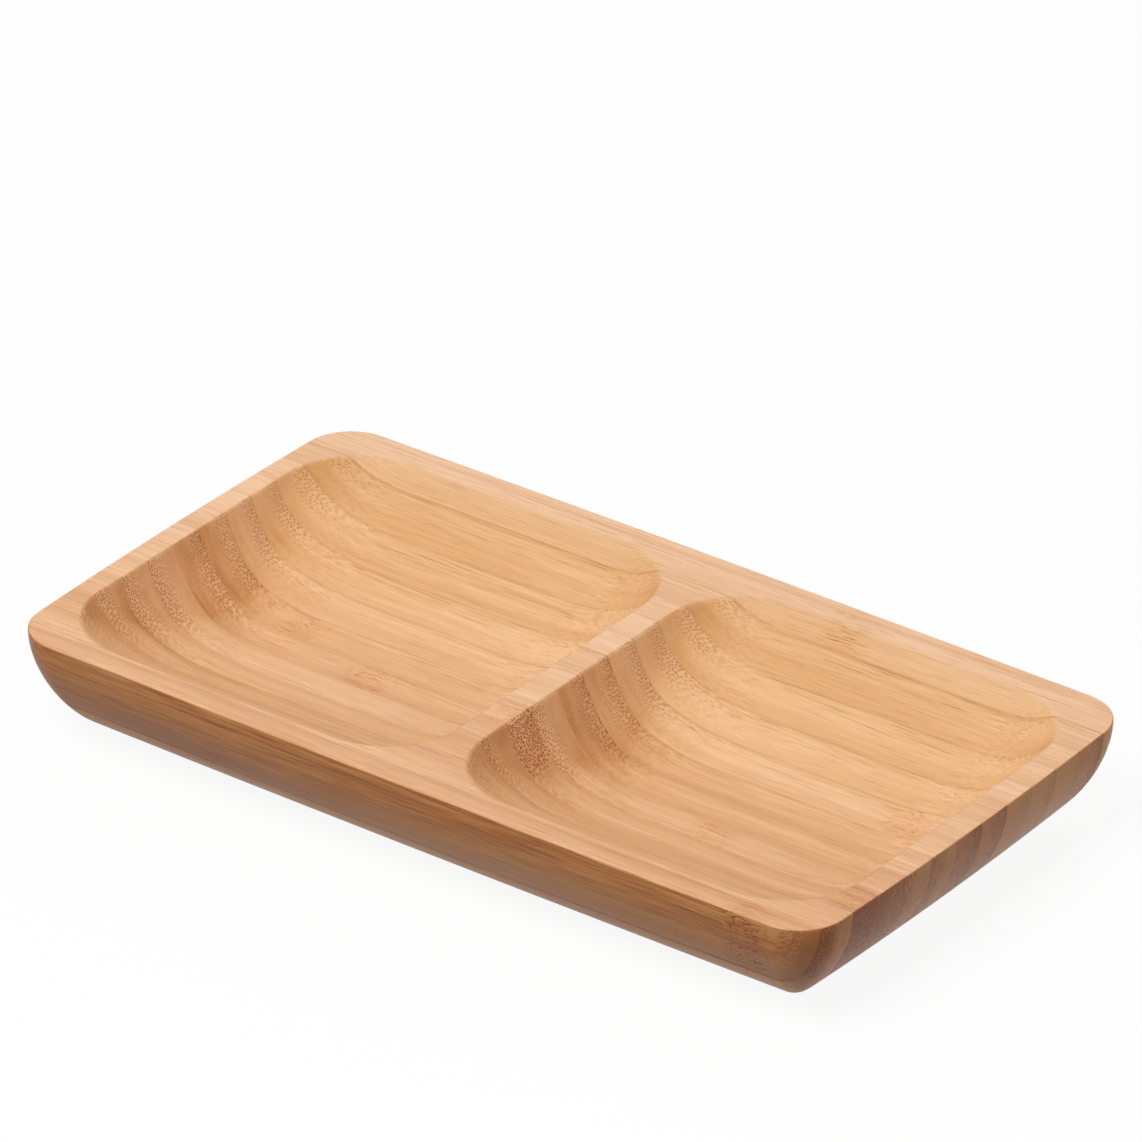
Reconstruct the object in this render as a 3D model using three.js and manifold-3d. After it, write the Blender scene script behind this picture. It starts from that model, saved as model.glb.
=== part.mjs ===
// A serving plate of laminated bamboo with two dished pockets, in millimetres, +Z up.
// Upright bamboo strips run the length of the plate and are glued face to face into one board.
// The board is then carved: two pockets from above, and hull-shaped sides from the rim to the base.
// The origin is at the middle of the flat base, +X runs along the strips and -Y is the front.

import * as THREE from 'three';
import { mergeVertices } from 'three/addons/utils/BufferGeometryUtils.js';
import Module from 'manifold-3d';

// Overall size, over the bowed sides
const PLATE_LENGTH = 200;
const PLATE_WIDTH = 110.2;
const PLATE_HEIGHT = 25;

// Outline of the rim: its corners, and how far the middle of a side stands out
const RIM_CORNER_RADIUS = 10;
const END_BOW = 1.05;
const SIDE_BOW = 0.6;

// Hull-shaped sides: an upright band under the rim, then a curve that runs in to the base
const RIM_BAND = 0.9;
const HULL_INSET = 18.9;
const HULL_FULLNESS = 1.7;
const CORNER_TIGHTENING = 0.75;
const BASE_CORNER_RADIUS = 2.5;

// Flat rim left around the pockets, and the flat divider between them
const END_RIM = 5.7;
const SIDE_RIM = 6.6;
const DIVIDER = 6.2;
const POCKET_SHIFT = -0.5;

// Pockets: ends that lean inwards and then curve to the floor by a cove,
// and a floor that is dished across the plate by an arc, down to a narrow flat
const FLOOR_THICKNESS = 7.9;
const POCKET_CORNER_RADIUS = 17.5;
const END_LEAN = 6.8;
const END_COVE = 15.2;
const END_COVE_FULLNESS = 2.85;
const POCKET_FLAT_WIDTH = 6.6;

// Laminate: strip and glue thickness, one glue line's place across the width,
// and the narrowest strip that is kept at an edge
const STRIP_THICKNESS = 8.35;
const GLUE_THICKNESS = 0.15;
const GLUE_LINE_PLACE = 1.3;
const LEAST_EDGE_STRIP = 2;

// Cutting shapes run past the plate by this much
const OVERRUN = 3;
// Glue faces lie on this grid, so that a strip and its glue meet in one plane
const GLUE_GRID = 0.001;
// A corner never takes more than this share of the side that it rounds
const CORNER_SHARE = 0.95;

// Facets: the rim's bowed sides take more steps than the pockets' straight ones
const CORNER_STEPS = 6;
const LONG_SIDE_STEPS = 8;
const SHORT_SIDE_STEPS = 6;
const STRAIGHT_SIDE_STEPS = 1;
const HULL_STEPS = 8;
const POCKET_STEPS = 9;

// Finish, front strip to back strip in turn
const STRIP_COLOURS = [0xd8a873, 0xcf9a63, 0xdcb07c, 0xc99460];
const GLUE_COLOUR = 0x9c6b3f;
const BAMBOO_ROUGHNESS = 0.55;
const GLUE_ROUGHNESS = 0.4;

// Pocket sizes that follow from the rim, the divider and the floor
const pocketLength = (PLATE_LENGTH - 2 * END_RIM - DIVIDER) / 2;
const pocketHalfWidth = PLATE_WIDTH / 2 - SIDE_RIM;
const pocketDepth = PLATE_HEIGHT - FLOOR_THICKNESS;
const dishReach = pocketHalfWidth - POCKET_FLAT_WIDTH / 2;
const dishRadius = (dishReach ** 2 + pocketDepth ** 2) / (2 * pocketDepth);

const wasm = await Module();
wasm.setup();

// How far a curved wall has come in at a share of its depth: upright at 0, level at 1
function coveInset(share, reach, fullness) {
  return reach * (1 - (1 - share ** fullness) ** (1 / fullness));
}

// How far an end wall of a pocket has come in at a share of its depth
function endInset(share) {
  return END_LEAN * share + coveInset(share, END_COVE, END_COVE_FULLNESS);
}

// How far the arc of the dish still reaches from the flat at a share of the pocket's depth
function dishReachAt(share) {
  const belowCentre = dishRadius - pocketDepth * (1 - share);
  return Math.sqrt(Math.max(dishRadius ** 2 - belowCentre ** 2, 0));
}

// Shares of a wall's depth, closer together where the curve turns level
function coveShares(steps) {
  return Array.from({ length: steps + 1 }, (_, step) => Math.sin((step / steps) * (Math.PI / 2)));
}

// Points of a rounded rectangle, anticlockwise from the right end of the front side
function roundedRectangle(halfLength, halfWidth, cornerRadius, longSteps, shortSteps) {
  const radius = Math.min(cornerRadius, CORNER_SHARE * Math.min(halfLength, halfWidth));
  const arcs = [[1, -1], [1, 1], [-1, 1], [-1, -1]].map(([sideX, sideY], corner) => {
    const centre = new THREE.Vector2(sideX * (halfLength - radius), sideY * (halfWidth - radius));
    return Array.from({ length: CORNER_STEPS + 1 }, (_, step) => {
      const angle = (corner - 1 + step / CORNER_STEPS) * (Math.PI / 2);
      return new THREE.Vector2(Math.cos(angle), Math.sin(angle)).multiplyScalar(radius).add(centre);
    });
  });
  return arcs.flatMap((arc, corner) => {
    const from = arc[CORNER_STEPS];
    const to = arcs[(corner + 1) % arcs.length][0];
    const steps = corner % 2 === 0 ? shortSteps : longSteps;
    const side = Array.from({ length: steps - 1 }, (_, step) => from.clone().lerp(to, (step + 1) / steps));
    return [...arc, ...side];
  });
}

// Bends the straight sides of an outline outwards, most at their middles
function bow(points, halfLength, halfWidth) {
  return points.map(({ x, y }) => new THREE.Vector2(
    x * (1 + (END_BOW / halfLength) * (1 - (y / halfWidth) ** 2)),
    y * (1 + (SIDE_BOW / halfWidth) * (1 - (x / halfLength) ** 2)),
  ));
}

// A closed solid through rings with as many points each, from the lowest ring to the highest
function loft(rings) {
  const count = rings[0].points.length;
  const positions = rings.flatMap(({ points, z }) => points.flatMap(({ x, y }) => [x, y, z]));
  const index = [];
  for (let level = 0; level + 1 < rings.length; level += 1) {
    for (let place = 0; place < count; place += 1) {
      const next = (place + 1) % count;
      const [low, lowNext] = [level * count + place, level * count + next];
      index.push(low, lowNext, lowNext + count, low, lowNext + count, low + count);
    }
  }
  const top = (rings.length - 1) * count;
  THREE.ShapeUtils.triangulateShape(rings[0].points, []).forEach(([a, b, c]) => index.push(c, b, a));
  THREE.ShapeUtils.triangulateShape(rings.at(-1).points, [])
    .forEach(([a, b, c]) => index.push(top + a, top + b, top + c));
  const geometry = new THREE.BufferGeometry();
  geometry.setAttribute('position', new THREE.Float32BufferAttribute(positions, 3));
  geometry.setIndex(index);
  return geometry;
}

// A closed geometry as a solid that can be joined and cut
function toSolid(geometry) {
  const bare = geometry.clone();
  bare.deleteAttribute('normal');
  bare.deleteAttribute('uv');
  const merged = mergeVertices(bare);
  return new wasm.Manifold(new wasm.Mesh({
    numProp: 3,
    vertProperties: new Float32Array(merged.attributes.position.array),
    triVerts: new Uint32Array(merged.index.array),
  }));
}

// A cut solid as a geometry again
function toGeometry(solid) {
  const mesh = solid.getMesh();
  const geometry = new THREE.BufferGeometry();
  geometry.setAttribute('position', new THREE.BufferAttribute(mesh.vertProperties, 3));
  geometry.setIndex(new THREE.BufferAttribute(mesh.triVerts, 1));
  geometry.computeVertexNormals();
  return geometry;
}

// The uncarved outside of the plate, from the flat base up to the rim
function hull() {
  const rimHalfLength = PLATE_LENGTH / 2 - END_BOW;
  const rimHalfWidth = PLATE_WIDTH / 2 - SIDE_BOW;
  const ringAt = (depth, inset) => {
    const halfLength = rimHalfLength - inset;
    const halfWidth = rimHalfWidth - inset;
    const radius = Math.max(RIM_CORNER_RADIUS - CORNER_TIGHTENING * inset, BASE_CORNER_RADIUS);
    const points = roundedRectangle(halfLength, halfWidth, radius, LONG_SIDE_STEPS, SHORT_SIDE_STEPS);
    return { points: bow(points, halfLength, halfWidth), z: PLATE_HEIGHT - depth };
  };
  const curved = coveShares(HULL_STEPS).map((share) => ringAt(
    RIM_BAND + share * (PLATE_HEIGHT - RIM_BAND),
    coveInset(share, HULL_INSET, HULL_FULLNESS),
  ));
  return loft([...curved.reverse(), ringAt(0, 0)]);
}

// The hollow of one pocket, up past the rim
function pocket(centreX) {
  const ringAt = (share, z) => ({
    points: roundedRectangle(
      pocketLength / 2 - endInset(share),
      POCKET_FLAT_WIDTH / 2 + dishReachAt(share),
      POCKET_CORNER_RADIUS,
      STRAIGHT_SIDE_STEPS,
      STRAIGHT_SIDE_STEPS,
    ),
    z,
  });
  const walls = coveShares(POCKET_STEPS).map((share) => ringAt(share, PLATE_HEIGHT - share * pocketDepth));
  const hollow = loft([...walls.reverse(), ringAt(0, PLATE_HEIGHT + OVERRUN)]);
  return hollow.translate(centreX, 0, 0);
}

// The carved board, before it is told apart into strips
function carvedBoard() {
  const reach = (pocketLength + DIVIDER) / 2;
  return [-reach, reach].reduce(
    (board, place) => board.subtract(toSolid(pocket(place + POCKET_SHIFT))),
    toSolid(hull()),
  );
}

// Middles of the glue lines across the width, from the front to the back
function glueLines() {
  const pitch = STRIP_THICKNESS + GLUE_THICKNESS;
  const limit = PLATE_WIDTH / 2 - LEAST_EDGE_STRIP - GLUE_THICKNESS / 2;
  const first = Math.ceil((-limit - GLUE_LINE_PLACE) / pitch);
  const last = Math.floor((limit - GLUE_LINE_PLACE) / pitch);
  return Array.from({ length: last - first + 1 }, (_, step) => GLUE_LINE_PLACE + (first + step) * pitch);
}

// The stretch of the board that lies between two planes across the width
function slice(board, low, high) {
  const box = new THREE.BoxGeometry(PLATE_LENGTH + 2 * OVERRUN, high - low, PLATE_HEIGHT + 2 * OVERRUN);
  box.translate(0, (low + high) / 2, PLATE_HEIGHT / 2);
  return toGeometry(board.intersect(toSolid(box)));
}

// Adds one named piece to the plate
function addPiece(plate, name, geometry, colour, roughness) {
  const material = new THREE.MeshStandardMaterial({ color: colour, roughness, metalness: 0 });
  const mesh = new THREE.Mesh(geometry, material);
  mesh.name = name;
  plate.add(mesh);
}

// The whole plate: strips from the front to the back, with a film of glue between each two
function buildPlate() {
  const plate = new THREE.Group();
  const board = carvedBoard();
  const onGrid = (place) => Math.round(place / GLUE_GRID) * GLUE_GRID;
  const films = glueLines().map((middle) => ({
    low: onGrid(middle - GLUE_THICKNESS / 2),
    high: onGrid(middle + GLUE_THICKNESS / 2),
  }));
  const outside = PLATE_WIDTH / 2 + OVERRUN;
  const fronts = [-outside, ...films.map((film) => film.high)];
  const backs = [...films.map((film) => film.low), outside];
  const label = (order) => String(order + 1).padStart(2, '0');
  fronts.forEach((front, order) => {
    const colour = STRIP_COLOURS[order % STRIP_COLOURS.length];
    const strip = slice(board, front, backs[order]);
    addPiece(plate, `bamboo_strip_${label(order)}`, strip, colour, BAMBOO_ROUGHNESS);
  });
  films.forEach(({ low, high }, order) => {
    addPiece(plate, `glue_line_${label(order)}`, slice(board, low, high), GLUE_COLOUR, GLUE_ROUGHNESS);
  });
  return plate;
}

export default buildPlate();
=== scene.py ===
# A laminated bamboo serving plate with two dished pockets, in metres, +Z up.
# The whole board is carved once, then cut into its upright strips and the films of glue between them.

import math
from collections import namedtuple

import bmesh
import bpy
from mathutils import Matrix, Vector


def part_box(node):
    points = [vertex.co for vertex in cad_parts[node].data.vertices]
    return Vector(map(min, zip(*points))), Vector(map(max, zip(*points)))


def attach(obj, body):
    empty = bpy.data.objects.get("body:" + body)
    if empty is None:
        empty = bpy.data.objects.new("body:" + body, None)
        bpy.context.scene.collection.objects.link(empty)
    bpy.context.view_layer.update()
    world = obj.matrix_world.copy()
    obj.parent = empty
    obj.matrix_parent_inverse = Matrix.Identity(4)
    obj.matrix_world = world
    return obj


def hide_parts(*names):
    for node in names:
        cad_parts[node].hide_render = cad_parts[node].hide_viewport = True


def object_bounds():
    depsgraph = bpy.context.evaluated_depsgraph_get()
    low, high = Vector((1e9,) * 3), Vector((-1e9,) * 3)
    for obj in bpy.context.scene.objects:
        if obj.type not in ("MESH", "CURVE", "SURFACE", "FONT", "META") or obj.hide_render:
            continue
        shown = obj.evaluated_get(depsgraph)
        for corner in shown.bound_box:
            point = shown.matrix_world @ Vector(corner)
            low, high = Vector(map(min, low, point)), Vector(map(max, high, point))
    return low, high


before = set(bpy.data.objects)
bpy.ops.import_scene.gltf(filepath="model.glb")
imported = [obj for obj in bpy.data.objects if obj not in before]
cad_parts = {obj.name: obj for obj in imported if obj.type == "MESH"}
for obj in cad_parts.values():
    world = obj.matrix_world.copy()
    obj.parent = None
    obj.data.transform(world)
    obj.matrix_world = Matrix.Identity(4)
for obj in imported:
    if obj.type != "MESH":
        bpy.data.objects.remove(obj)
cad_low, cad_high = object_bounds()

# Overall size, from the frame
PLATE_LENGTH = cad_high.x - cad_low.x
PLATE_WIDTH = cad_high.y - cad_low.y
PLATE_HEIGHT = cad_high.z - cad_low.z

# Outline of the rim: its corners, and how far the middle of a side stands out
RIM_CORNER_RADIUS = 0.010
END_BOW = 0.00105
SIDE_BOW = 0.0006

# Hull-shaped sides: an upright band under the rim, then a curve that runs in to the base
RIM_BAND = 0.0009
HULL_INSET = 0.0189
HULL_FULLNESS = 1.7
CORNER_TIGHTENING = 0.75
BASE_CORNER_RADIUS = 0.0025

# Flat rim left around the pockets, and the flat divider between them
END_RIM = 0.0057
SIDE_RIM = 0.0066
DIVIDER = 0.0062
POCKET_SHIFT = -0.0005

# Pockets: ends that lean inwards and then curve to the floor by a cove,
# and a floor that is dished across the plate by an arc, down to a narrow flat
FLOOR_THICKNESS = 0.0079
POCKET_CORNER_RADIUS = 0.0175
END_LEAN = 0.0068
END_COVE = 0.0152
END_COVE_FULLNESS = 2.85
POCKET_FLAT_WIDTH = 0.0066
CORNER_SHARE = 0.95

# Sanded edges of the rim, outside and around the pockets
OUTER_EDGE_ROUND = 0.0003
POCKET_EDGE_ROUND = 0.0006

# Steps of the curves
CORNER_STEPS = 14
SIDE_STEPS = 24
HULL_STEPS = 28
POCKET_STEPS = 44
EDGE_STEPS = 4
SMOOTH_ANGLE = math.radians(40)

# Points this close lie in one plane
TOUCH = 1e-7

POCKET_LENGTH = (PLATE_LENGTH - 2 * END_RIM - DIVIDER) / 2
POCKET_HALF_WIDTH = PLATE_WIDTH / 2 - SIDE_RIM
POCKET_DEPTH = PLATE_HEIGHT - FLOOR_THICKNESS
POCKET_REACH = (POCKET_LENGTH + DIVIDER) / 2
DISH_REACH = POCKET_HALF_WIDTH - POCKET_FLAT_WIDTH / 2
DISH_RADIUS = (DISH_REACH ** 2 + POCKET_DEPTH ** 2) / (2 * POCKET_DEPTH)


# Modelling

def cove_inset(share, reach, fullness):
    """How far a curved wall has come in at a share of its depth: upright at 0, level at 1."""
    return reach * (1 - (1 - share ** fullness) ** (1 / fullness))


def end_inset(share):
    """How far an end wall of a pocket has come in at a share of its depth."""
    return END_LEAN * share + cove_inset(share, END_COVE, END_COVE_FULLNESS)


def cove_shares(steps, first=0):
    """Shares of a wall's depth, closer together where the curve turns level."""
    start = math.asin(first)
    return [math.sin(start + step / steps * (math.pi / 2 - start)) for step in range(steps + 1)]


def dish_reach(depth):
    """How far the arc of the dish still reaches from the flat at a depth below the rim."""
    below_centre = DISH_RADIUS - POCKET_DEPTH + depth
    return math.sqrt(max(DISH_RADIUS ** 2 - below_centre ** 2, 0))


def edge_round(radius):
    """Depth below the rim and distance back from the wall, for each ring of a sanded edge."""
    turns = [step / EDGE_STEPS * math.pi / 2 for step in range(EDGE_STEPS)]
    return [(radius * (1 - math.cos(turn)), radius * (1 - math.sin(turn))) for turn in turns]


def select_edges(board, wanted):
    """Selects the board's edges that the rule wants, and nothing else, in edit mode."""
    bpy.ops.mesh.select_mode(type="EDGE")
    bpy.ops.mesh.select_all(action="DESELECT")
    shape = bmesh.from_edit_mesh(board.data)
    for edge in shape.edges:
        if wanted(edge):
            edge.select_set(True)
    bmesh.update_edit_mesh(board.data)


def lies_at(edge, height):
    """Whether an edge lies level at a height."""
    return all(abs(vertex.co.z - height) < TOUCH for vertex in edge.verts)


def add_ring(centre_x, half_length, half_width, corner_radius, height):
    """A rounded rectangle of loose edges: a plane with its corners bevelled and its face taken out."""
    centre = (centre_x, 0, height)
    bpy.ops.mesh.primitive_plane_add(size=2, location=centre)
    bpy.ops.transform.resize(value=(half_length, half_width, 1), center_override=centre)
    bpy.ops.mesh.bevel(offset=corner_radius, segments=CORNER_STEPS, affect="VERTICES")
    bpy.ops.mesh.delete(type="ONLY_FACE")


def bow_ring(board, half_length, half_width, height):
    """Divides the straight sides of the ring at a height and bends them outwards, most at their middles."""
    select_edges(board, lambda edge: lies_at(edge, height) and edge.calc_length() > RIM_CORNER_RADIUS)
    bpy.ops.mesh.subdivide(number_cuts=SIDE_STEPS - 1)
    shape = bmesh.from_edit_mesh(board.data)
    for vertex in shape.verts:
        if abs(vertex.co.z - height) < TOUCH:
            across = vertex.co.y / half_width
            along = vertex.co.x / half_length
            vertex.co.x += along * END_BOW * (1 - across ** 2)
            vertex.co.y += across * SIDE_BOW * (1 - along ** 2)
    bmesh.update_edit_mesh(board.data)


def bridge_rings(board):
    """Joins the loose rings by walls, each to the next."""
    select_edges(board, lambda edge: edge.is_wire)
    bpy.ops.mesh.bridge_edge_loops()


def close_ring(board, height):
    """Closes the open ring at a height with one face."""
    select_edges(board, lambda edge: edge.is_boundary and lies_at(edge, height))
    bpy.ops.mesh.edge_face_add()


def carve_hull(board):
    """The outside of the board, from the sanded rim down to the flat base."""
    rings = edge_round(OUTER_EDGE_ROUND)
    rings.append((OUTER_EDGE_ROUND, 0))
    for share in cove_shares(HULL_STEPS):
        depth = RIM_BAND + share * (PLATE_HEIGHT - RIM_BAND)
        rings.append((depth, cove_inset(share, HULL_INSET, HULL_FULLNESS)))
    for depth, inset in rings:
        half_length = PLATE_LENGTH / 2 - END_BOW - inset
        half_width = PLATE_WIDTH / 2 - SIDE_BOW - inset
        radius = max(RIM_CORNER_RADIUS - CORNER_TIGHTENING * inset, BASE_CORNER_RADIUS)
        height = PLATE_HEIGHT - depth
        add_ring(0, half_length, half_width, radius, height)
        bow_ring(board, half_length, half_width, height)
    bridge_rings(board)
    close_ring(board, 0)


def carve_pocket(board, centre_x):
    """The wall and floor of one pocket, from its sanded edge down."""
    rings = edge_round(POCKET_EDGE_ROUND)
    for share in cove_shares(POCKET_STEPS, POCKET_EDGE_ROUND / POCKET_DEPTH):
        rings.append((share * POCKET_DEPTH, 0))
    for depth, flare in rings:
        share = min(depth / POCKET_DEPTH, 1)
        half_length = POCKET_LENGTH / 2 - end_inset(share) + flare - POCKET_EDGE_ROUND / 2
        half_width = POCKET_FLAT_WIDTH / 2 + dish_reach(depth) + flare - POCKET_EDGE_ROUND / 2
        radius = min(POCKET_CORNER_RADIUS + flare, CORNER_SHARE * min(half_length, half_width))
        add_ring(centre_x, half_length, half_width, radius, PLATE_HEIGHT - depth)
    bridge_rings(board)
    close_ring(board, PLATE_HEIGHT - POCKET_DEPTH)


def carve_board():
    """The whole carved board, before it is told apart into strips."""
    bpy.ops.object.select_all(action="DESELECT")
    bpy.ops.mesh.primitive_plane_add(size=1)
    board = bpy.context.object
    board.name = "carved_board"
    bpy.ops.object.mode_set(mode="EDIT")
    bpy.ops.mesh.delete(type="VERT")
    carve_hull(board)
    carve_pocket(board, POCKET_SHIFT - POCKET_REACH)
    carve_pocket(board, POCKET_SHIFT + POCKET_REACH)
    select_edges(board, lambda edge: edge.is_boundary and lies_at(edge, PLATE_HEIGHT))
    bpy.ops.mesh.fill(use_beauty=True)
    bpy.ops.mesh.select_all(action="SELECT")
    bpy.ops.mesh.normals_make_consistent(inside=False)
    bpy.ops.object.mode_set(mode="OBJECT")
    return board


def cut_piece(board, name, node):
    """The stretch of the board that a node of the frame takes up, as a piece of its own."""
    bpy.ops.object.select_all(action="DESELECT")
    board.select_set(True)
    bpy.context.view_layer.objects.active = board
    bpy.ops.object.duplicate()
    piece = bpy.context.object
    piece.name = name
    piece.data.name = name
    low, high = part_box(node)
    bpy.ops.object.mode_set(mode="EDIT")
    if low.y > cad_low.y + TOUCH:
        bpy.ops.mesh.select_all(action="SELECT")
        bpy.ops.mesh.bisect(
            plane_co=(0, low.y, 0), plane_no=(0, 1, 0), use_fill=True, clear_inner=True, threshold=TOUCH)
    if high.y < cad_high.y - TOUCH:
        bpy.ops.mesh.select_all(action="SELECT")
        bpy.ops.mesh.bisect(
            plane_co=(0, high.y, 0), plane_no=(0, 1, 0), use_fill=True, clear_outer=True, threshold=TOUCH)
    bpy.ops.mesh.select_all(action="SELECT")
    bpy.ops.mesh.normals_make_consistent(inside=False)
    bpy.ops.object.mode_set(mode="OBJECT")
    bpy.ops.object.shade_smooth_by_angle(angle=SMOOTH_ANGLE)
    bpy.ops.object.modifier_add(type="WEIGHTED_NORMAL")
    piece.modifiers[-1].keep_sharp = True
    bpy.ops.object.modifier_apply(modifier=piece.modifiers[-1].name)
    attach(piece, "root")
    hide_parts(node)
    return piece


# Finishes

class Nodes:
    """The shader nodes of one material, added and joined by short calls."""

    def __init__(self, name):
        self.material = bpy.data.materials.new(name)
        self.material.use_nodes = True
        self.tree = self.material.node_tree
        self.shader = self.tree.nodes["Principled BSDF"]

    def put(self, socket, value):
        if isinstance(value, bpy.types.NodeSocket):
            self.tree.links.new(value, socket)
        else:
            socket.default_value = value

    def add(self, kind, inputs, **settings):
        node = self.tree.nodes.new(kind)
        for key, value in settings.items():
            setattr(node, key, value)
        for key, value in inputs.items():
            self.put(node.inputs[key], value)
        return node

    def sum(self, *values):
        total = values[0]
        for value in values[1:]:
            total = self.add("ShaderNodeMath", {0: total, 1: value}, operation="ADD").outputs[0]
        return total

    def times(self, first, second):
        return self.add("ShaderNodeMath", {0: first, 1: second}, operation="MULTIPLY").outputs[0]

    def most(self, first, second):
        return self.add("ShaderNodeMath", {0: first, 1: second}, operation="MAXIMUM").outputs[0]

    def size(self, value):
        return self.add("ShaderNodeMath", {0: value}, operation="ABSOLUTE").outputs[0]

    def shift(self, place, by):
        return self.add("ShaderNodeVectorMath", {0: place, 1: by}, operation="ADD").outputs[0]

    def scale(self, place, by):
        return self.add("ShaderNodeVectorMath", {0: place, 1: by}, operation="MULTIPLY").outputs[0]

    def apart(self, place):
        return self.add("ShaderNodeSeparateXYZ", {0: place}).outputs

    def ease(self, value, low, high, to_low=0, to_high=1):
        inputs = {"Value": value, "From Min": low, "From Max": high, "To Min": to_low, "To Max": to_high}
        return self.add("ShaderNodeMapRange", inputs, interpolation_type="SMOOTHSTEP").outputs["Result"]

    def without(self, share):
        """What a share leaves, from 1 down to 0."""
        return self.ease(share, *WHOLE, *FALLING)

    def about_zero(self, noise):
        """Noise moved down so that its middle is 0."""
        return self.sum(noise, -0.5)

    def facing(self):
        """The parts of the normal along X, Y and Z."""
        return self.apart(self.add("ShaderNodeNewGeometry", {}).outputs["Normal"])

    def grain(self, place, sizes, detail=2):
        """Noise whose patches have these sizes along, across and up the strip."""
        place = self.scale(place, [1 / size for size in sizes])
        return self.add("ShaderNodeTexNoise", {"Vector": place, "Scale": 1, "Detail": detail}).outputs

    def bundles(self, place, randomness):
        """Distance from the nearest fibre bundle, for bundles that run along X without end."""
        across, up = self.apart(place)[1:]
        section = self.add("ShaderNodeCombineXYZ", {0: across, 1: up}).outputs[0]
        inputs = {"Vector": section, "Scale": 1, "Randomness": randomness}
        return self.add("ShaderNodeTexVoronoi", inputs, voronoi_dimensions="2D").outputs["Distance"]

    def mix_values(self, share, first, second):
        return self.add("ShaderNodeMix", {0: share, 2: first, 3: second}).outputs[0]

    def ramp(self, value, stops):
        node = self.add("ShaderNodeValToRGB", {"Fac": value})
        points = node.color_ramp.elements
        while len(points) < len(stops):
            points.new(0.5)
        for point, (place, colour) in zip(points, stops):
            point.position = place
            point.color = (*colour, 1)
        return node.outputs["Color"]

    def mix(self, share, first, second, kind="MIX"):
        node = self.add("ShaderNodeMix", {"Factor": share}, data_type="RGBA", blend_type=kind)
        self.put(node.inputs[6], first)
        self.put(node.inputs[7], second)
        return node.outputs[2]


FRONT, BACK = "front", "back"
Strip = namedtuple("Strip", "tone rim cut yellow dense bundles joints")

# What sets each strip apart, front to back: its tone, what is added to it on the rim and at the plate's
# cut ends, how yellow it is, the side where its fibre bundles crowd, how dark they are,
# and the places along it of its growth joints
STRIPS = [
    Strip(-0.15, -0.05, -0.10, 0.3, FRONT, 0.9, (0.084,)),
    Strip(-0.06, -0.07, -0.14, 0.4, FRONT, 0.7, ()),
    Strip(-0.11, -0.10, -0.66, 0.0, FRONT, 0.8, (0.097,)),
    Strip(-0.13, 0.00, -0.34, 0.0, FRONT, 0.9, ()),
    Strip(-0.07, 0.02, 0.04, 0.0, FRONT, 1.0, (0.003, 0.088)),
    Strip(-0.02, 0.07, -0.03, 0.0, FRONT, 0.9, (0.044,)),
    Strip(-0.11, 0.20, -0.22, 0.2, BACK, 0.9, (-0.047,)),
    Strip(-0.07, 0.08, -0.18, 0.4, BACK, 0.9, (-0.070,)),
    Strip(0.08, 0.09, 0.60, 0.3, BACK, 0.9, (0.073,)),
    Strip(0.11, 0.03, 0.22, 0.5, BACK, 0.9, ()),
    Strip(0.09, 0.03, 0.24, 0.6, BACK, 0.8, ()),
    Strip(0.06, -0.06, -0.25, 0.7, BACK, 0.7, ()),
    Strip(0.20, -0.06, -0.05, 0.5, BACK, 0.6, (0.035,)),
    Strip(0.14, -0.04, 0.00, 0.1, BACK, 0.7, ()),
]

# Bamboo from its deepest to its palest, the browns of its fibre bundles cut across and along, and set glue
DEEP = (0.45, 0.19, 0.07)
TAN = (0.63, 0.318, 0.138)
HONEY = (0.74, 0.42, 0.21)
PALE = (0.83, 0.52, 0.30)
BUNDLE_BROWN = (0.33, 0.10, 0.025)
LINE_BROWN = (0.42, 0.15, 0.045)
GLUE_DARK = (0.58, 0.29, 0.12)
GLUE_PALE = (0.74, 0.42, 0.20)
BAMBOO_TONES = [(0, DEEP), (0.25, TAN), (0.5, HONEY), (0.75, PALE)]
GLUE_TONES = [(0.3, GLUE_DARK), (0.7, GLUE_PALE)]

# What tints it: a yellow strip, a growth joint, fibres cut across (deeper, partly painted shade), the outside
# of the board (darker, partly painted shade), painted cooler light on its cut ends, and the freshly sanded
# rim with a painted sheen
YELLOW = (1.0, 0.97, 0.80)
JOINT_WARMTH = (0.97, 0.91, 0.84)
# Partly painted shade: faces that cut across the fibres, the pockets' end walls and the plate's ends, are
# also deepened to look shaded.
END_GRAIN_AND_SHADE = (0.93, 0.855, 0.755)
# Partly painted shade: the outer sides and ends are darker and deeper in colour than the bamboo inside.
OUTSIDE_TINT_AND_SHADE = (0.79, 0.565, 0.335)
COOL_END = (0.90, 0.97, 1.26)
# Partly painted sheen: the rim is paler and cooler, as sanded and as a painted sheen.
SANDED_RIM_AND_SHEEN = (1.03, 1.025, 1.06)

# Gloss, and roughness from the darker streaks to the paler ones, less on the oiled outside
SPECULAR = 0.3
ROUGH_STREAKS = (0.3, 0.7)
ROUGHNESS = (0.46, 0.58)
OUTSIDE_POLISH = -0.06
GLUE_DRIFT = (0.2, 0.8)
GLUE_ROUGHNESS = (0.40, 0.55)

# Relief: fibres stand up and bundles lie low, with the depth of the bumps in metres
FINE_RELIEF = 0.6
BUNDLE_RELIEF = -0.5
BUMP_STRENGTH = 0.2
BUMP_DEPTH = 0.0002

MILLIMETRES = (1000, 1000, 1000)
MIDDLE = (-0.5, -0.5, -0.5)

# The whole of a share, and a share that falls
WHOLE = (0, 1)
FALLING = (1, 0)

# Each strip takes its grain from another place, this far on in millimetres
STRIP_SHIFT = (137, 31, 17)

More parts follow.
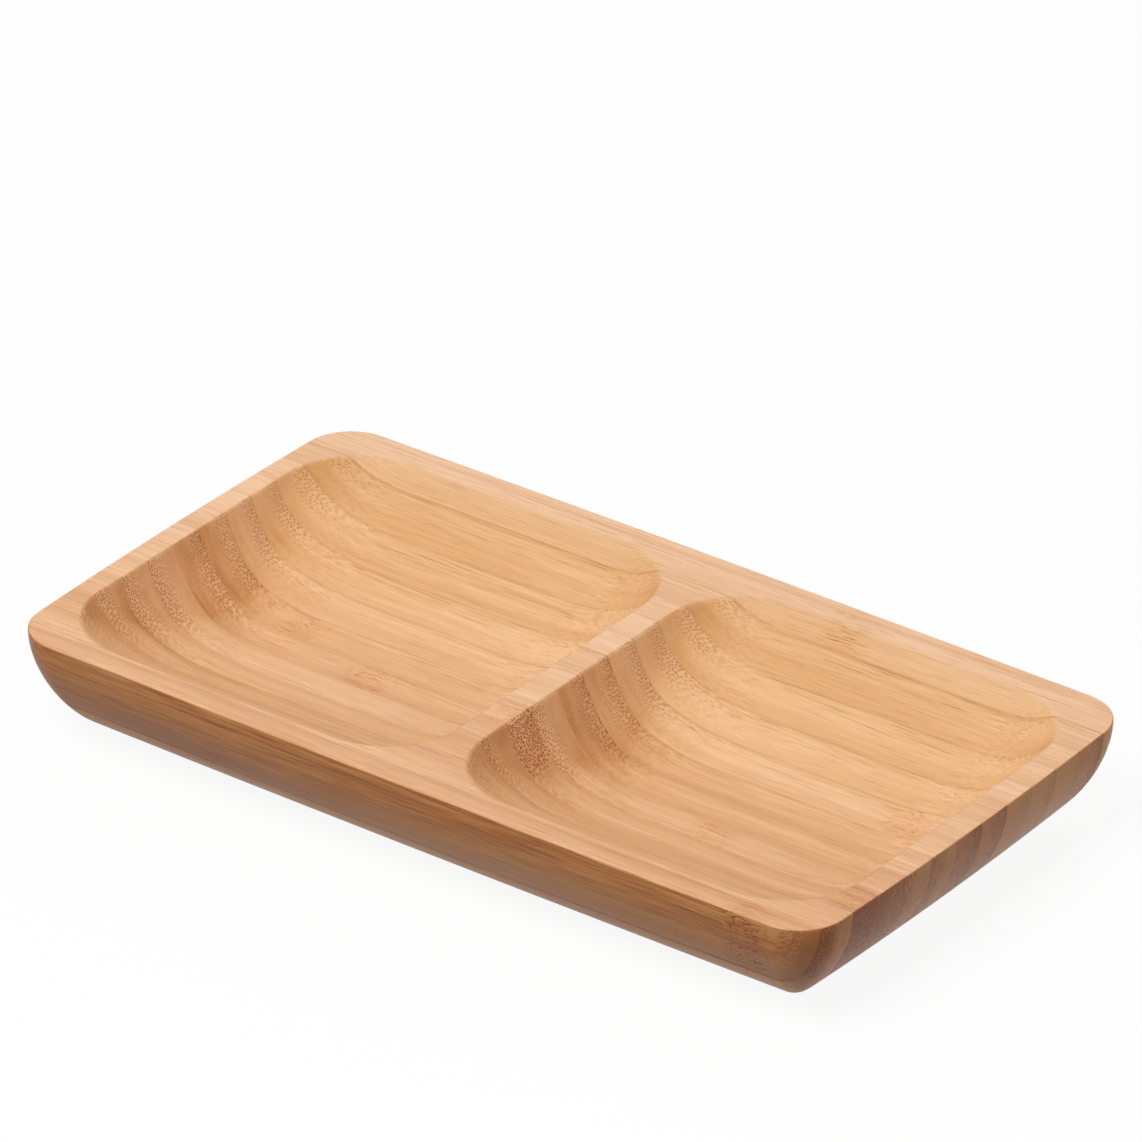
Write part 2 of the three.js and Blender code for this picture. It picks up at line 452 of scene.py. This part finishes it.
# Grain of each pattern, in millimetres along the strip, across it and up it
PATCH_GRAIN = (60, 14, 14)
WANDER_GRAIN = (60, 10, 10)
CURL_GRAIN = (7, 3, 3)
BAND_GRAIN = (120, 2.2, 6.7)
STREAK_GRAIN = (24, 1, 1)
FINE_GRAIN = (13, 0.35, 0.35)
DASH_GRAIN = (12, 0.9, 0.9)
FLECK_GRAIN = (9, 0.4, 0.4)
PIT_GRAIN = (1.1, 0.6, 0.6)
BLOTCH_GRAIN = (6, 1.3, 2.5)
GLUE_GRAIN = (18, 1, 4)

# How far fibres wander and curl, in millimetres, and fibre bundles to a millimetre, with their scatter
WANDER = (0, 1.8, 1.8)
CURL = (0, 2.4, 2.4)
BUNDLE_COUNT = (1, 1.8, 1.6)
BUNDLE_SCATTER = 0.65

# Where bundles crowd, as a share of the strip's thickness towards its dense side, and how far that drifts
CROWD_DEPTH = (0.20, 0.90)
CROWD_DRIFT = 0.6

# How much wider bundles are where they crowd and on the outside
CROWD_GROWTH = -0.06
OUTSIDE_GROWTH = -0.05

# Edges of a bundle cut across and cut along, of the paler gaps around it, and of the marks that noise makes
DOT_EDGE = (0.10, 0.36)
LINE_EDGE = (0.06, 0.21)
GAP_EDGE = (0.26, 0.46)
DASH_EDGE = (0.46, 0.58)
FLECK_EDGE = (0.57, 0.67)
PIT_EDGE = (0.57, 0.66)

# Growth joints: half their length, how far from the middle they fade out, and how ragged their ends are
JOINT_CORE = 0.002
JOINT_REACH = 0.008
JOINT_RAGGED = 0.012

# The rim lies within this depth of the top, and the outside is paler with painted light down to this depth
# under it
RIM_DEPTH = 0.0002
TOP_EDGE_LIGHT_DEPTH = 0.004
TOP_EDGE_LIGHT_SHARE = (1, 0.80)
COOL_SHARE = (1, 0.25)

# Turn of a face, by its normal: from fibres that run along it to fibres cut across, from the inside of
# the board to its outside, from a slope to an upright wall, and from facing the left end to facing up
CUT_TURN = (0.10, 0.85)
OUTSIDE_TURN = (0.3, 0.8)
STEEP_TURN = (0.6, 1)
LEFTWARD_TURN = (-0.35, 0.05)

# Strength of bands off the rim and on it, of streaks and fine fibres where bundles are sparse and where
# they crowd, and what is added to these at cut ends, on the outer sides and on the rim
BAND_SHARE = (0.5, 0.25)
STREAK_SHARE = (0.10, 0.42)
STREAK_AT_ENDS = -0.05
STREAK_OUTSIDE = 1.0
STREAK_ON_RIM = 0.22
FINE_SHARE = (0.40, 0.70)
FINE_AT_ENDS = -0.10
FINE_OUTSIDE = 0.6
PATCH_SHARE = 0.3
PATCH_BOOST = 0.5
BLOTCH_SHARE = 0.5

# Tone through the strip's thickness, at its dense side, and through it at the plate's cut ends
MIDDLE_TONE = 0.5
SPARSE_DEPTH = (0, 0.6)
SPARSE_TONE = (-0.09, 0.04)
SEAM_DEPTH = (0.9, 1)
SEAM_TONE = (0, -0.16)
CUT_DEPTH = (0.1, 1)
CUT_TONE = (0.20, -0.28)

# Tone of the gaps between bundles, painted light and shade on the pockets' end walls (darker where they
# slope, paler where upright), the strips' contrast on the walls, and the rim's tone with its drift of painted
# sheen for each metre along the plate
GAP_TONE = (-0.05, 0.20)
STEEP_WALL_LIGHT = (-0.10, 0.10)
WALL_CONTRAST = 1.2
RIM_TONE = 0.02
# Painted sheen: the rim grows paler towards the left end of the plate.
RIM_SHEEN_DRIFT = -0.45

# Strength of dots from the foot of a wall to its top, at the cut ends from the front corner backwards,
# on walls that face the left end and in growth joints, and strength of lines and flecks
DOTTED_END = (0.03, 0.45)
DOT_SHARE = (0.45, 0.72)
FRONT_CORNER = (-0.045, -0.025)
OUTER_DOTS = (1, 0.45)
LEFTWARD_DOTS = (0.4, 1)
JOINT_DOTS = 0.9
LINE_SHARE = (0.8, 0)
JOINT_LINES = 1.5
FLECK_SHARE = (0.2, 0.05)


def surface_shares(nodes, coordinates, facing):
    """How much a place cuts across the fibres, and lies on the outside of the board and on its rim."""
    along, across, up = nodes.apart(coordinates)
    end = nodes.ease(nodes.size(facing[0]), *CUT_TURN)
    outward = nodes.sum(
        nodes.times(nodes.times(facing[0], along), 2 / PLATE_LENGTH),
        nodes.times(nodes.times(facing[1], across), 2 / PLATE_WIDTH))
    rim = nodes.ease(up, PLATE_HEIGHT - RIM_DEPTH, PLATE_HEIGHT - RIM_DEPTH / 4)
    return end, nodes.ease(outward, *OUTSIDE_TURN), rim


def tinted(nodes, colour, up, end, outside, rim):
    """A colour with the tints of cut fibres and of the outside, both partly painted shade, painted light that
    pales the outside's top edge, painted cooler light low on the cut ends, and the rim's sanded tint with its
    painted sheen.
    """
    # Painted light: the outside's darker tint eases off along its top edge.
    outside_tint_and_shade = nodes.times(outside, nodes.ease(up, PLATE_HEIGHT - TOP_EDGE_LIGHT_DEPTH, PLATE_HEIGHT, *TOP_EDGE_LIGHT_SHARE))
    cool = nodes.times(nodes.times(end, outside), nodes.ease(up, PLATE_HEIGHT / 2, PLATE_HEIGHT, *COOL_SHARE))
    tints = [(end, END_GRAIN_AND_SHADE), (outside_tint_and_shade, OUTSIDE_TINT_AND_SHADE), (cool, COOL_END), (rim, SANDED_RIM_AND_SHEEN)]
    for share, tint in tints:
        colour = nodes.mix(share, colour, (*tint, 1), "MULTIPLY")
    return colour


def joint_share(nodes, strip, along, patches):
    """How near a place is to one of the strip's growth joints: 1 at a joint, 0 away from all."""
    share = 0.0
    ragged = nodes.times(nodes.about_zero(patches), JOINT_RAGGED)
    for joint in strip.joints:
        away = nodes.size(nodes.sum(along, ragged, -joint))
        share = nodes.sum(share, nodes.ease(away, JOINT_CORE, JOINT_REACH, *FALLING))
    return share


def bamboo_finish(order, node):
    """The finish of one strip: long fibres, bundles that crowd to one side, and tangled growth joints."""
    strip = STRIPS[order]
    nodes = Nodes(f"bamboo_{order + 1:02d}")
    low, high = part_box(node)
    coordinates = nodes.add("ShaderNodeTexCoord", {}).outputs["Object"]
    along, across, up = nodes.apart(coordinates)
    facing = nodes.facing()
    end, outside, rim = surface_shares(nodes, coordinates, facing)
    inner_end = nodes.times(end, nodes.without(outside))
    outer_end = nodes.times(end, outside)
    outer_side = nodes.times(outside, nodes.without(end))
    place = nodes.shift(nodes.scale(coordinates, MILLIMETRES), [order * step for step in STRIP_SHIFT])

    # Fibres wander a little as they run along the strip, and curl about in its growth joints
    patches = nodes.grain(place, PATCH_GRAIN, 1)["Fac"]
    tangle = joint_share(nodes, strip, along, patches)
    wander = nodes.scale(nodes.shift(nodes.grain(place, WANDER_GRAIN)["Color"], MIDDLE), WANDER)
    curl = nodes.scale(nodes.shift(nodes.grain(place, CURL_GRAIN)["Color"], MIDDLE), CURL)
    curl = nodes.add("ShaderNodeVectorMath", {0: curl, "Scale": tangle}, operation="SCALE").outputs[0]
    fibres = nodes.shift(nodes.shift(place, wander), curl)

    # Bundles crowd towards the strip's dense side
    sparse, dense = (low.y, high.y) if strip.dense == BACK else (high.y, low.y)
    span = {"Value": across, "From Min": sparse, "From Max": dense}
    depth = nodes.add("ShaderNodeMapRange", span).outputs[0]
    crowd = nodes.ease(nodes.sum(depth, nodes.times(nodes.about_zero(patches), CROWD_DRIFT)), *CROWD_DEPTH)
    crowd = nodes.most(crowd, tangle)
    gap = nodes.bundles(nodes.scale(fibres, BUNDLE_COUNT), BUNDLE_SCATTER)
    grown = nodes.sum(
        gap, nodes.times(crowd, CROWD_GROWTH * strip.bundles), nodes.times(outside, OUTSIDE_GROWTH))

    # Bands lie along the strip, with streaks and fine fibres on them
    bands = nodes.grain(fibres, BAND_GRAIN)["Fac"]
    streaks = nodes.grain(fibres, STREAK_GRAIN, 3)["Fac"]
    fine = nodes.grain(fibres, FINE_GRAIN, 1)["Fac"]
    blotches = nodes.grain(place, BLOTCH_GRAIN)["Fac"]
    streak_share = nodes.sum(
        nodes.ease(crowd, *WHOLE, *STREAK_SHARE), nodes.times(end, STREAK_AT_ENDS),
        nodes.times(outer_side, STREAK_OUTSIDE), nodes.times(rim, STREAK_ON_RIM))
    fine_share = nodes.sum(
        nodes.ease(crowd, *WHOLE, *FINE_SHARE), nodes.times(end, FINE_AT_ENDS),
        nodes.times(outer_side, FINE_OUTSIDE))
    patch_share = nodes.sum(PATCH_SHARE, nodes.times(nodes.sum(outer_side, inner_end), PATCH_BOOST))
    tone = nodes.sum(
        nodes.times(nodes.about_zero(bands), nodes.ease(rim, *WHOLE, *BAND_SHARE)),
        nodes.times(nodes.about_zero(streaks), streak_share),
        nodes.times(nodes.about_zero(fine), fine_share),
        nodes.times(nodes.about_zero(patches), patch_share),
        nodes.times(nodes.times(crowd, end), nodes.ease(grown, *GAP_EDGE, *GAP_TONE)),
        nodes.ease(depth, *SPARSE_DEPTH, *SPARSE_TONE),
        nodes.ease(depth, *SEAM_DEPTH, *SEAM_TONE),
        nodes.times(nodes.sum(1, nodes.times(inner_end, WALL_CONTRAST)), strip.tone),
        # Painted light and shade: upright parts of the pockets' end walls paler, sloping parts darker.
        nodes.times(inner_end, nodes.ease(nodes.size(facing[0]), *STEEP_TURN, *STEEP_WALL_LIGHT)),
        # Painted sheen: the rim paler towards the left end.
        nodes.times(rim, nodes.sum(nodes.times(along, RIM_SHEEN_DRIFT), strip.rim + RIM_TONE)),
        nodes.times(outer_end, nodes.sum(nodes.ease(depth, *CUT_DEPTH, *CUT_TONE), strip.cut)),
        nodes.times(outer_end, nodes.times(nodes.about_zero(blotches), BLOTCH_SHARE)),
        MIDDLE_TONE)
    colour = nodes.ramp(tone, BAMBOO_TONES)
    colour = nodes.mix(nodes.ease(rim, *WHOLE, strip.yellow, 0), colour, (*YELLOW, 1), "MULTIPLY")
    colour = nodes.mix(tangle, colour, (*JOINT_WARMTH, 1), "MULTIPLY")

    # Bundles show as dots where they are cut across, with pits in the growth joints of the outside
    dotted = nodes.ease(end, *DOTTED_END)
    outer_dots = nodes.ease(across, *FRONT_CORNER, *OUTER_DOTS)
    dot_share = nodes.times(nodes.times(dotted, nodes.ease(end, *WHOLE, *DOT_SHARE)), strip.bundles)
    dot_share = nodes.times(dot_share, nodes.mix_values(outer_end, 1, outer_dots))
    dot_share = nodes.times(dot_share, nodes.sum(1, nodes.times(tangle, JOINT_DOTS)))
    dot_share = nodes.times(dot_share, nodes.ease(facing[0], *LEFTWARD_TURN, *LEFTWARD_DOTS))
    dots = nodes.times(nodes.ease(grown, *DOT_EDGE, *FALLING), crowd)
    pits = nodes.ease(nodes.grain(place, PIT_GRAIN, 1)["Fac"], *PIT_EDGE)
    pits = nodes.times(pits, nodes.times(tangle, outside))
    dots = nodes.most(nodes.times(dots, dot_share), pits)

    # Elsewhere they show as dashes, with fainter flecks of single fibres between them
    dashes = nodes.most(nodes.ease(nodes.grain(fibres, DASH_GRAIN, 1)["Fac"], *DASH_EDGE), tangle)
    joint_lines = nodes.times(tangle, nodes.times(outside, JOINT_LINES))
    line_share = nodes.times(nodes.ease(dotted, *WHOLE, *LINE_SHARE), nodes.sum(1, joint_lines))
    lines = nodes.times(nodes.times(nodes.ease(gap, *LINE_EDGE, *FALLING), crowd), dashes)
    flecks = nodes.ease(nodes.grain(fibres, FLECK_GRAIN, 1)["Fac"], *FLECK_EDGE)
    flecks = nodes.times(flecks, nodes.ease(dotted, *WHOLE, *FLECK_SHARE))
    lines = nodes.most(nodes.times(lines, line_share), flecks)
    line_brown = nodes.mix(tangle, (*LINE_BROWN, 1), (*BUNDLE_BROWN, 1))
    colour = nodes.mix(lines, colour, line_brown)
    colour = nodes.mix(dots, colour, (*BUNDLE_BROWN, 1))

    nodes.put(nodes.shader.inputs["Base Color"], tinted(nodes, colour, up, end, outside, rim))
    roughness = nodes.sum(
        nodes.ease(streaks, *ROUGH_STREAKS, *ROUGHNESS), nodes.times(outside, OUTSIDE_POLISH))
    nodes.put(nodes.shader.inputs["Roughness"], roughness)
    nodes.shader.inputs["Specular IOR Level"].default_value = SPECULAR
    height = nodes.sum(nodes.times(fine, FINE_RELIEF), nodes.times(nodes.sum(dots, lines), BUNDLE_RELIEF))
    bump = nodes.add("ShaderNodeBump", {"Height": height, "Strength": BUMP_STRENGTH, "Distance": BUMP_DEPTH})
    nodes.put(nodes.shader.inputs["Normal"], bump.outputs["Normal"])
    return nodes.material


def glue_finish():
    """Set glue, clear enough to take the bamboo's colour, a little darker along some stretches."""
    nodes = Nodes("set_glue")
    coordinates = nodes.add("ShaderNodeTexCoord", {}).outputs["Object"]
    up = nodes.apart(coordinates)[2]
    drift = nodes.grain(nodes.scale(coordinates, MILLIMETRES), GLUE_GRAIN, 3)["Fac"]
    colour = nodes.ramp(drift, GLUE_TONES)
    colour = tinted(nodes, colour, up, *surface_shares(nodes, coordinates, nodes.facing()))
    nodes.put(nodes.shader.inputs["Base Color"], colour)
    nodes.put(nodes.shader.inputs["Roughness"], nodes.ease(drift, *GLUE_DRIFT, *GLUE_ROUGHNESS))
    nodes.shader.inputs["Specular IOR Level"].default_value = SPECULAR
    return nodes.material


# Stage: a pale floor, soft lamps and the camera

RIM_CENTRE = Vector((0, 0, PLATE_HEIGHT))
CAMERA_AZIMUTH = math.radians(36.837)
CAMERA_ELEVATION = math.radians(29.587)
CAMERA_DISTANCE = 2.2214
CAMERA_LENS = 352.0
SENSOR_WIDTH = 36
AIM_UP = 0.0199
AIM_RIGHT = 0.00083

FLOOR_SIZE = 6
FLOOR_BOUNCE = (0.36, 0.36, 0.37)
FLOOR_PAPER = (0.95, 0.95, 0.95)
FLOOR_WHITE = 0.92
AMBIENT = (0.06, 0.06, 0.06)
WHITE = (1, 1, 1)

# Square soft lamps that face the plate: name, place and power in watts
LAMP_SIZE = 0.6
LAMPS = [
    ("front_softbox", (0, -0.62, 1.05), 13.05),
    ("back_softbox", (-0.55, 0.65, 0.7), 2.8),
    ("low_softbox", (0.8, 0.7, 0.35), 2.7),
]


def background_share(tree):
    """1 for rays that show the background: from the camera, or by way of gloss or glass."""
    path = tree.nodes.new("ShaderNodeLightPath")
    share = path.outputs["Is Camera Ray"]
    for name in ("Is Glossy Ray", "Is Transmission Ray"):
        either = tree.nodes.new("ShaderNodeMath")
        either.operation = "MAXIMUM"
        tree.links.new(share, either.inputs[0])
        tree.links.new(path.outputs[name], either.inputs[1])
        share = either.outputs[0]
    return share


def floor_finish():
    """White where it is seen, with the plate's shadow kept, and grey for the light that it throws back."""
    material = bpy.data.materials.new("pale_floor")
    material.use_nodes = True
    tree = material.node_tree
    tree.nodes.clear()
    output = tree.nodes.new("ShaderNodeOutputMaterial")
    pick = tree.nodes.new("ShaderNodeMixShader")
    seen = tree.nodes.new("ShaderNodeMixShader")
    thrown = tree.nodes.new("ShaderNodeBsdfDiffuse")
    paper = tree.nodes.new("ShaderNodeBsdfDiffuse")
    white = tree.nodes.new("ShaderNodeEmission")
    thrown.inputs["Color"].default_value = (*FLOOR_BOUNCE, 1)
    paper.inputs["Color"].default_value = (*FLOOR_PAPER, 1)
    seen.inputs["Fac"].default_value = FLOOR_WHITE
    tree.links.new(paper.outputs[0], seen.inputs[1])
    tree.links.new(white.outputs[0], seen.inputs[2])
    tree.links.new(background_share(tree), pick.inputs["Fac"])
    tree.links.new(thrown.outputs[0], pick.inputs[1])
    tree.links.new(seen.outputs[0], pick.inputs[2])
    tree.links.new(pick.outputs[0], output.inputs["Surface"])
    return material


def set_floor():
    """The floor under the plate."""
    bpy.ops.object.select_all(action="DESELECT")
    bpy.ops.mesh.primitive_plane_add(size=FLOOR_SIZE)
    floor = bpy.context.object
    floor.name = "floor"
    floor.data.materials.append(floor_finish())


def set_world():
    """Even light from all around, and a white background where it is seen."""
    world = bpy.data.worlds.new("soft_room")
    bpy.context.scene.world = world
    world.use_nodes = True
    tree = world.node_tree
    light = tree.nodes["Background"]
    light.inputs["Color"].default_value = (*AMBIENT, 1)
    white = tree.nodes.new("ShaderNodeBackground")
    white.inputs["Color"].default_value = (*WHITE, 1)
    pick = tree.nodes.new("ShaderNodeMixShader")
    tree.links.new(background_share(tree), pick.inputs["Fac"])
    tree.links.new(light.outputs[0], pick.inputs[1])
    tree.links.new(white.outputs[0], pick.inputs[2])
    tree.links.new(pick.outputs[0], tree.nodes["World Output"].inputs["Surface"])


def add_lamp(name, location, power):
    """A square soft light that faces the plate."""
    bpy.ops.object.light_add(type="AREA", location=location)
    lamp = bpy.context.object
    lamp.name = name
    lamp.rotation_euler = (Vector(location) - RIM_CENTRE).to_track_quat("Z", "Y").to_euler()
    lamp.data.size = LAMP_SIZE
    lamp.data.energy = power


def set_camera():
    """The camera at the photograph's viewing angle."""
    back = Vector((
        math.sin(CAMERA_AZIMUTH) * math.cos(CAMERA_ELEVATION),
        -math.cos(CAMERA_AZIMUTH) * math.cos(CAMERA_ELEVATION),
        math.sin(CAMERA_ELEVATION)))
    right = Vector((math.cos(CAMERA_AZIMUTH), math.sin(CAMERA_AZIMUTH), 0))
    up = back.cross(right)
    aim = RIM_CENTRE + right * AIM_RIGHT + up * AIM_UP
    bpy.ops.object.camera_add(location=aim + back * CAMERA_DISTANCE)
    camera = bpy.context.object
    camera.rotation_euler = back.to_track_quat("Z", "Y").to_euler()
    camera.data.lens = CAMERA_LENS
    camera.data.sensor_width = SENSOR_WIDTH
    bpy.context.scene.camera = camera


# The plate: strips and films of glue, cut from one board

board = carve_board()
glue = glue_finish()
strip_nodes = sorted(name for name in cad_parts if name.startswith("bamboo_strip"))
glue_nodes = sorted(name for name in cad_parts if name.startswith("glue_line"))
for order, node in enumerate(strip_nodes):
    strip = cut_piece(board, f"carved_strip_{order + 1:02d}", node)
    strip.data.materials.append(bamboo_finish(order, node))
for order, node in enumerate(glue_nodes):
    film = cut_piece(board, f"glue_film_{order + 1:02d}", node)
    film.data.materials.append(glue)
bpy.data.objects.remove(board)

set_floor()
set_world()
for name, location, power in LAMPS:
    add_lamp(name, location, power)
set_camera()
bpy.context.scene.view_settings.view_transform = "Standard"
